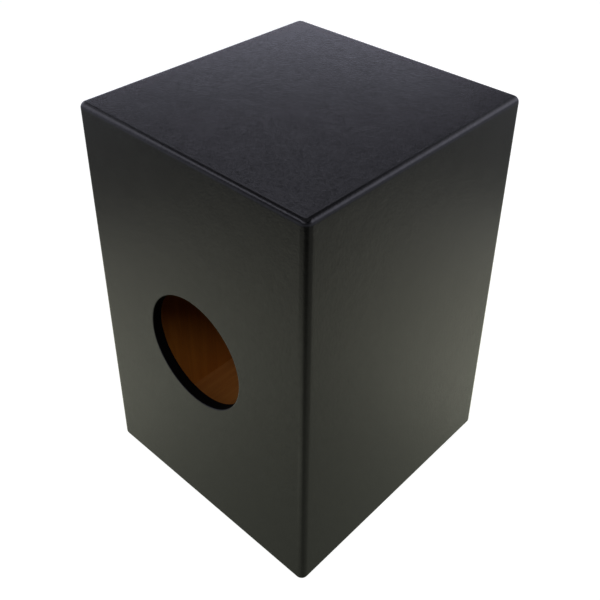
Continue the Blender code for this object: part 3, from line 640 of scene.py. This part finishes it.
# ------------------------------------------------------------------ snare tuning gear
for s, sg in (("left", -1), ("right", 1)):
    x, y = tune[s]
    at = Matrix.Translation((x, y, Z0))
    # cap screw: knurled head, hexagon socket, M5 thread up to its end
    T = 0.064
    head = [(0, 0.0009), (0.0036, 0.0009), (0.00405, 0.00105), (0.00425, 0.0014)]
    head += [(0.00425, 0.0014 + 0.0003 * k) for k in range(1, 14)] + [(0.00420, 0.0059), (0.0025, 0.0059), (0.0025, 0.0290)]
    zs, rad = thread(0.00206, 0.00248, 0.0295, T - 0.0006, 0.0008, 24, 5, 1.0, 1.0)

    def bulge(a, r, z):
        if abs(r - 0.00206) < 1e-9 and 0.0295 - 1e-9 <= z <= T - 0.0006 + 1e-9:
            return rad(a, z) - 0.00206
        if abs(r - 0.00425) < 1e-9 and 0.0016 < z < 0.0056:
            return -0.00010 * (0.5 + 0.5 * math.cos(a * 36))
        return 0.0
    bm = turn(head + [(0.00206, z) for z in zs] + [(0.0017, T), (0, T)], 72, bulge=bulge)
    ob = piece("tuning_key_screw_" + s, bm, M_BLACK, None, None, angle=40, wn=False)
    hexa = [(0.00231 * math.cos(math.pi / 3 * k), 0.00231 * math.sin(math.pi / 3 * k)) for k in range(6)]
    boolean(ob, prism(hexa, -0.001, 0.0037), angle=40)
    ob.data.transform(at)
    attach(ob, "tuner_" + s)
    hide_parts("tuning_screw_" + s)
    # washer
    bm = turn([(0.0028, 0.0063), (0.0029, 0.0062), (0.0049, 0.0062), (0.0050, 0.0063), (0.0050, 0.0071), (0.0049, 0.0072), (0.0029, 0.0072), (0.0028, 0.0071)],
              48, ring=True, fr=at)
    piece("steel_washer_" + s, bm, M_ZINC, "box", "tuning_washer_" + s)
    # open clip with three inner lugs
    lo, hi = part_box("retaining_clip_" + s)
    pts, n, a0 = [], 60, math.radians(36)
    for k in range(n + 1):
        a = a0 + (2 * math.pi - 2 * a0) * k / n
        pts.append((0.0047 * math.cos(a), 0.0047 * math.sin(a)))
    for k in range(n, -1, -1):
        a = a0 + (2 * math.pi - 2 * a0) * k / n
        r = 0.00262 + 0.0009 * max(0.0, min(1.0, (abs(math.sin(1.5 * (a - math.pi))) - 0.35) * 3.0)) if abs(a - math.pi) < 2.3 else 0.00262
        pts.append((r * math.cos(a), r * math.sin(a)))
    bm = prism(pts, lo.z - Z0, hi.z - Z0, fr=at)
    piece("spring_clip_" + s, bm, M_BLACK, "tuner_" + s, "retaining_clip_" + s)
    # guide pin
    a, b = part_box("guide_pin_" + s)
    px = (a.x + b.x) / 2
    bm = turn([(0, a.z), (0.0014, a.z), (0.0019, a.z + 0.0005)] + [(0.0019, a.z + 0.0005 + (b.z - a.z - 0.0012) * k / 10) for k in range(1, 11)] +
              arc(0.0014, b.z - 0.0005, 0.0005, 0, 90, 4) + [(0, b.z)], 32, fr=Matrix.Translation((px, y, 0)))
    piece("steel_guide_pin_" + s, bm, M_NICKEL, "box", "guide_pin_" + s)
    # string carrier: stamped plate on a tapped boss
    lo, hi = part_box("string_carrier_" + s)
    cz = hi.z - 0.003
    bm = cube((lo.x, lo.y, cz), (hi.x, hi.y, hi.z))
    bmesh.ops.bevel(bm, geom=[e for e in bm.edges if abs(e.verts[0].co.z - e.verts[1].co.z) > 0.001], offset=0.0018, segments=5, profile=0.5, affect='EDGES')
    bmesh.ops.bevel(bm, geom=[e for e in bm.edges if e.calc_face_angle(0) > 1.2], offset=0.0003, segments=2, profile=0.5, affect='EDGES')
    ob = piece("carrier_" + s, bm, M_NICKEL, None, None)
    boolean(ob, turn([(0, cz - 0.0075)] + [(0.0050, cz - 0.0075)] + arc(0.0050, cz - 0.0070, 0.0005, -90, 0, 3)[1:] + [(0.0055, cz - 0.0008), (0.0061, cz - 0.0002), (0.0061, cz + 0.001), (0, cz + 0.001)],
                     64, fr=Matrix.Translation((x, y, 0))), 'UNION')
    bm = turn([(0, cz - 0.012), (0.0031, cz - 0.012), (0.0031, cz - 0.0075), (0.00265, cz - 0.0070), (0.00265, hi.z - 0.0005), (0.0031, hi.z), (0.0031, hi.z + 0.004), (0, hi.z + 0.004)],
              48, fr=Matrix.Translation((x, y, 0)))
    turn([(0, cz - 0.003), (0.0021, cz - 0.003), (0.0021, hi.z + 0.004), (0, hi.z + 0.004)], 32, bm=bm, fr=Matrix.Translation((px, y, 0)))
    for a, b in strings.values():
        if a.x * sg < 0:
            continue
        d = b - a
        nx = a.x + d.x * ((cz + 0.0015 - a.z) / d.z)
        cube((nx - 0.0008, lo.y - 0.003, cz - 0.002), (nx + 0.0008, lo.y + 0.0016, hi.z + 0.002), bm)
    boolean(ob, bm)
    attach(ob, "carrier_" + s)
    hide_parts("string_carrier_" + s)

# ------------------------------------------------------------------ strings: wire with crimped ferrules at both ends
for n, (a, b) in strings.items():
    d = (b - a)
    L = d.length
    fr = Matrix.Translation(a) @ d.normalized().to_track_quat('Z', 'Y').to_matrix().to_4x4()
    fe, rw = 0.0028, 0.00035
    g = 0.0004
    low = [(0, 0.0), (0.0007, 0.0), (0.0011, 0.00015), (0.0012, 0.0004), (0.00118, 0.0010), (0.00102, 0.0013), (0.00102, 0.0016), (0.00118, 0.0019), (0.0012, 0.0024), (0.0010, 0.0027), (0.0006, fe)]
    steps = 150
    mid = [(rw, fe + 0.0001 + (L - 2 * fe - 0.0002) * k / steps) for k in range(steps + 1)]
    top = [(r, L - z) for r, z in reversed(low)]

    def bulge(a_, r, z):
        return 0.0
    bm = turn(low + mid + top, 14, fr=fr)
    ob = piece(n.replace("snare_string", "wound_string"), bm, M_WIRE, None, n, angle=50, wn=False)
    side = "left" if a.x < 0 else "right"
    clo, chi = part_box("string_carrier_" + side)
    rlo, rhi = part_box("string_rail")
    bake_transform(ob)

# ------------------------------------------------------------------ feet
for k, (key, (x, y)) in enumerate(feet.items()):
    lo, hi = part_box("foot_" + key)
    at = Matrix.Translation((x, y, 0))
    t = hi.z
    prof = arc(0.0056, 0.0005, 0.0005, 180, 270, 4) + [(0.0090, 0.0), (0.0093, 0.00035), (0.0107, 0.00035), (0.0110, 0.0)]
    prof += arc(0.0145 - 0.0009, 0.0009, 0.0009, -90, 0, 6)
    prof += [(0.0145 + 0.0012 * q, 0.0009 + (t - 0.0022) * q) for q in (0.25, 0.5, 0.52, 0.75, 1.0)]
    prof += [(0.0160, t - 0.0011)] + arc(0.0160 - 0.0005, t - 0.0005, 0.0005, 0, 90, 4)
    prof += [(0.0024, t), (0.0024, 0.0055), (0.0047, 0.0055)] + arc(0.0047, 0.0051, 0.0004, 90, 0, 3)[1:]
    bm = turn(prof, 72, ring=True, fr=at)
    piece("rubber_foot_" + key, bm, M_RUBBER, "box", "foot_" + key)
    bm = turn([(0.0024, 0.0042), (0.0025, 0.0041), (0.0045, 0.0041), (0.0046, 0.0042), (0.0046, 0.0051), (0.0045, 0.0052), (0.0025, 0.0052), (0.0024, 0.0051)], 48, ring=True, fr=at)
    piece("steel_foot_washer_" + key, bm, M_ZINC, "box", "foot_washer_" + key)
    fr = Matrix.Translation((x, y, 0.0038)) @ Matrix.Rotation(math.pi, 4, 'X')
    head = [(0, 0.0025), (0.0013, 0.00245), (0.0026, 0.0021), (0.0035, 0.0013), (0.0039, 0.0004), (0.0040, 0.0001), (0.0039, 0.0), (0.0020, 0.0), (0.0020, -0.0060)]
    wood_screw("steel_foot_screw_" + key, "foot_screw_" + key, fr, 0.4 + 2.3 * k, head, 0.00135, 0.00198, -0.0066, -0.0162, 0.0018,
               [(0.0010, -0.0166), (0.0004, -0.0178), (0, -0.0181)], M_ZINC, (0.0004, 0.0019, 0.0014, 0.00245))

# ------------------------------------------------------------------ floor, light, camera
me = bpy.data.meshes.new("floor")
bm = bmesh.new()
bmesh.ops.create_grid(bm, x_segments=1, y_segments=1, size=6.0)
bm.to_mesh(me)
bm.free()
floor = bpy.data.objects.new("floor", me)
scene.collection.objects.link(floor)
n = Nodes("M_floor")
n.set(Base_Color=(0.42, 0.42, 0.42), Roughness=n.remap(n.noise(3.0, 3.0), 0.3, 0.7, 0.55, 0.7),
      Emission_Color=(1.0, 1.0, 1.0), Emission_Strength=0.90)
n.bsdf.inputs["Specular IOR Level"].default_value = 0.1
# from below the floor is clear, so the underside can be looked at
clear = n.new("ShaderNodeBsdfTransparent")
side = n.new("ShaderNodeMixShader")
n.link(n.new("ShaderNodeNewGeometry").outputs["Backfacing"], side.inputs[0])
n.link(n.bsdf.outputs[0], side.inputs[1])
n.link(clear.outputs[0], side.inputs[2])
n.link(side.outputs[0], n.t.nodes["Material Output"].inputs["Surface"])
me.materials.append(n.m)
floor.visible_glossy = False
floor.visible_diffuse = False

world = bpy.data.worlds.new("studio")
scene.world = world
world.use_nodes = True
wt = world.node_tree
for x in list(wt.nodes):
    wt.nodes.remove(x)


def wn(kind, **p):
    x = wt.nodes.new(kind)
    for k, v in p.items():
        setattr(x, k, v)
    return x


def wm(op, a, b=0.0, c=0.0, clamp=False):
    x = wn("ShaderNodeMath", operation=op, use_clamp=clamp)
    for s, v in zip(x.inputs, (a, b, c)):
        if hasattr(v, "is_output"):
            wt.links.new(v, s)
        else:
            s.default_value = v
    return x.outputs[0]


def wrange(v, a, b, c, d):
    x = wn("ShaderNodeMapRange", interpolation_type='SMOOTHSTEP')
    wt.links.new(v, x.inputs["Value"])
    for k, q in zip(("From Min", "From Max", "To Min", "To Max"), (a, b, c, d)):
        x.inputs[k].default_value = q
    return x.outputs["Result"]


def wlin(v, a, b, c, d):
    x = wn("ShaderNodeMapRange")
    wt.links.new(v, x.inputs["Value"])
    for k, q in zip(("From Min", "From Max", "To Min", "To Max"), (a, b, c, d)):
        x.inputs[k].default_value = q
    return x.outputs["Result"]


sep = wn("ShaderNodeSeparateXYZ")
wt.links.new(wn("ShaderNodeTexCoord").outputs["Generated"], sep.inputs[0])
X, Y, Z = sep.outputs
EL = wm('MULTIPLY', wm('ARCSINE', Z), 180 / math.pi)
AZ = wm('MULTIPLY', wm('ARCTAN2', Y, X), 180 / math.pi)


def off(az0):
    """Angle in degrees between a direction's azimuth and az0."""
    return wm('ABSOLUTE', wm('SUBTRACT', wm('MODULO', wm('ADD', wm('SUBTRACT', AZ, az0), 720.0 + 180.0), 360.0), 180.0))


# the room's own brightness by elevation: pale floor, walls, dark ceiling
LEVELS = [(-90, .16), (-57, .18), (-50, .32), (-44, .35), (-38, .29), (-31, .15), (-25, .30), (-18, .38), (-10, .52),
          (-2, .47), (12, .33), (22, .02), (31, .14), (40, .08), (50, .0), (64, .25), (90, .10)]
ramp = wn("ShaderNodeValToRGB")
el = ramp.color_ramp.elements
while len(el) > 1:
    el.remove(el[-1])
for k, (e, v) in enumerate(LEVELS):
    p = (e + 90) / 180
    q = el[0] if k == 0 else el.new(p)
    q.position, q.color = p, (v, v, v, 1)
wt.links.new(wm('DIVIDE', wm('ADD', EL, 90.0), 180.0), ramp.inputs[0])
# whoever stands behind the camera darkens that side of the room
dim = wm('MULTIPLY', wrange(off(135.7), 17.6, 38.9, 1.0, 0.0),
         wm('MINIMUM', wlin(EL, -62.0, -44.0, 0.0, 0.16), 1.0))
dim = wm('ADD', dim, wm('MULTIPLY', wrange(off(135.7), 17.6, 38.9, 1.0, 0.0),
                        wm('MULTIPLY', wlin(EL, -44.0, -34.0, 0.0, 0.84), 1.0)))
dim = wm('MULTIPLY', dim, wlin(EL, -34.0, 10.0, 1.0, 0.0))
keep = wm('SUBTRACT', 1.0, dim)
level = wm('MULTIPLY', ramp.outputs[0], keep)
# soft lights: azimuth, elevation, half width, half height, soft edge across, soft edge up, level
LAMPS = [(12.8, 21.4, 24.7, 1.8, 6.8, 24.6, 1.17),      # window side
         (236.4, 26.6, 10.2, 1.6, 55.0, 24.5, 1.49),    # broad soft light on the other side
         (317.0, 10.5, 13.5, 8.0, 8.2, 4.7, 1.16),      # low light far behind
         (313.0, 34.5, 4.0, 0.5, 14.0, 8.0, 0.31),      # small one over it
         (320.6, 47.9, 4.3, 2.5, 16.0, 15.0, 0.73),     # soft one above it
         (71.4, 39.7, 13.6, 0.5, 58.0, 11.5, 1.82),     # top light
         (271.0, -39.6, 4.0, 5.5, 51.0, 4.0, 0.80),     # light pools on the floor
         (18.0, -40.4, 0.0, 4.7, 57.0, 4.0, 0.43),
         (90.0, -45.8, 20.0, 3.8, 25.0, 6.6, 0.42),
         (313.0, -38.0, 32.0, 22.0, 20.0, 12.0, 1.0)]   # white floor behind the drum
for la, le, ha, he, sa, se, lv in LAMPS:
    spot = wm('MULTIPLY', wrange(off(la), ha, ha + sa, 1.0, 0.0),
              wrange(wm('ABSOLUTE', wm('SUBTRACT', EL, le)), he, he + se, lv, 0.0))
    level = wm('ADD', level, wm('MULTIPLY', spot, keep) if le < 0 else spot)
# daylight from above is a little bluer than what the floor sends back
tint = wn("ShaderNodeValToRGB")
te = tint.color_ramp.elements
while len(te) > 1:
    te.remove(te[-1])
for k, (e, c) in enumerate([(-57, (.95, 1.0, .81)), (-38, (1.0, 1.0, .82)), (-18, (.97, 1.0, 1.14)),
                            (12, (1.0, 1.0, 1.23)), (50, (1.01, 1.0, 1.14))]):
    p = (e + 90) / 180
    q = te[0] if k == 0 else te.new(p)
    q.position, q.color = p, (*c, 1)
wt.links.new(wm('DIVIDE', wm('ADD', EL, 90.0), 180.0), tint.inputs[0])
seen = wn("ShaderNodeVectorMath", operation='SCALE')
wt.links.new(tint.outputs[0], seen.inputs[0])
wt.links.new(level, seen.inputs["Scale"])
# what bare, dull surfaces receive: soft light from above, little from below
fill = wlin(EL, -12.0, 18.0, 0.06, 0.16)
lp = wn("ShaderNodeLightPath")
open_air = wn("ShaderNodeMix", data_type='RGBA')
wt.links.new(lp.outputs["Is Camera Ray"], open_air.inputs[0])
wt.links.new(fill, open_air.inputs[6])
open_air.inputs[7].default_value = (1.02, 1.02, 1.02, 1)
pick = wn("ShaderNodeMix", data_type='RGBA')
wt.links.new(lp.outputs["Is Glossy Ray"], pick.inputs[0])
wt.links.new(open_air.outputs[2], pick.inputs[6])
wt.links.new(seen.outputs[0], pick.inputs[7])
bg = wn("ShaderNodeBackground")
wt.links.new(pick.outputs[2], bg.inputs["Color"])
wt.links.new(bg.outputs[0], wn("ShaderNodeOutputWorld").inputs["Surface"])
world.cycles.sampling_method = 'NONE'

# a large soft box over the photographer's shoulder; it fills the dull surfaces and the inside
lamp = bpy.data.lights.new("key", 'AREA')
lamp.shape, lamp.size, lamp.size_y, lamp.energy = 'RECTANGLE', 1.4, 0.6, 31.0
key = bpy.data.objects.new("key", lamp)
scene.collection.objects.link(key)
ka, ke = math.radians(134.0), math.radians(51.0)
toward = Vector((math.cos(ke) * math.cos(ka), math.cos(ke) * math.sin(ka), math.sin(ke)))
key.location = Vector((0, 0.155, 0.234)) + 2.6 * toward
key.rotation_euler = toward.to_track_quat('Z', 'Y').to_euler()
key.visible_glossy = False
key.visible_camera = False

scene.view_settings.view_transform = 'Standard'
scene.view_settings.look = 'None'
scene.view_settings.exposure = 0.0
scene.view_settings.gamma = 1.0

cam = bpy.data.cameras.new("camera")
cam.sensor_width = 36.0
cam.lens = 861.75 / 600.0 * 36.0
cam.clip_start, cam.clip_end = 0.01, 50.0
co = bpy.data.objects.new("camera", cam)
scene.collection.objects.link(co)
az, elv, roll = (math.radians(v) for v in (132.21911, 32.73565, 0.95605))
fw = -Vector((math.cos(elv) * math.cos(az), math.cos(elv) * math.sin(az), math.sin(elv)))
rt = fw.cross(Vector((0, 0, 1))).normalized()
up = rt.cross(fw)
r2 = math.cos(roll) * rt + math.sin(roll) * up
u2 = -math.sin(roll) * rt + math.cos(roll) * up
rot = Matrix((r2, u2, -fw)).transposed()
co.matrix_world = Matrix.Translation(Vector((-0.51441, 0.55182, 0.82433))) @ rot.to_4x4()
scene.camera = co
# the lens is shifted in the still view only
SHIFT = (-(311.462 - 300.0) / 600.0, -(300.0 - 203.801) / 600.0)
for path, val in (("shift_x", SHIFT[0]), ("shift_y", SHIFT[1])):
    dr = cam.driver_add(path).driver
    dr.type = 'SCRIPTED'
    v = dr.variables.new()
    v.name = "x"
    v.type = 'TRANSFORMS'
    v.targets[0].id = co
    v.targets[0].transform_type = 'LOC_X'
    v.targets[0].transform_space = 'WORLD_SPACE'
    dr.expression = "%.6f if abs(x + 0.51441) < 0.0005 else 0.0" % val
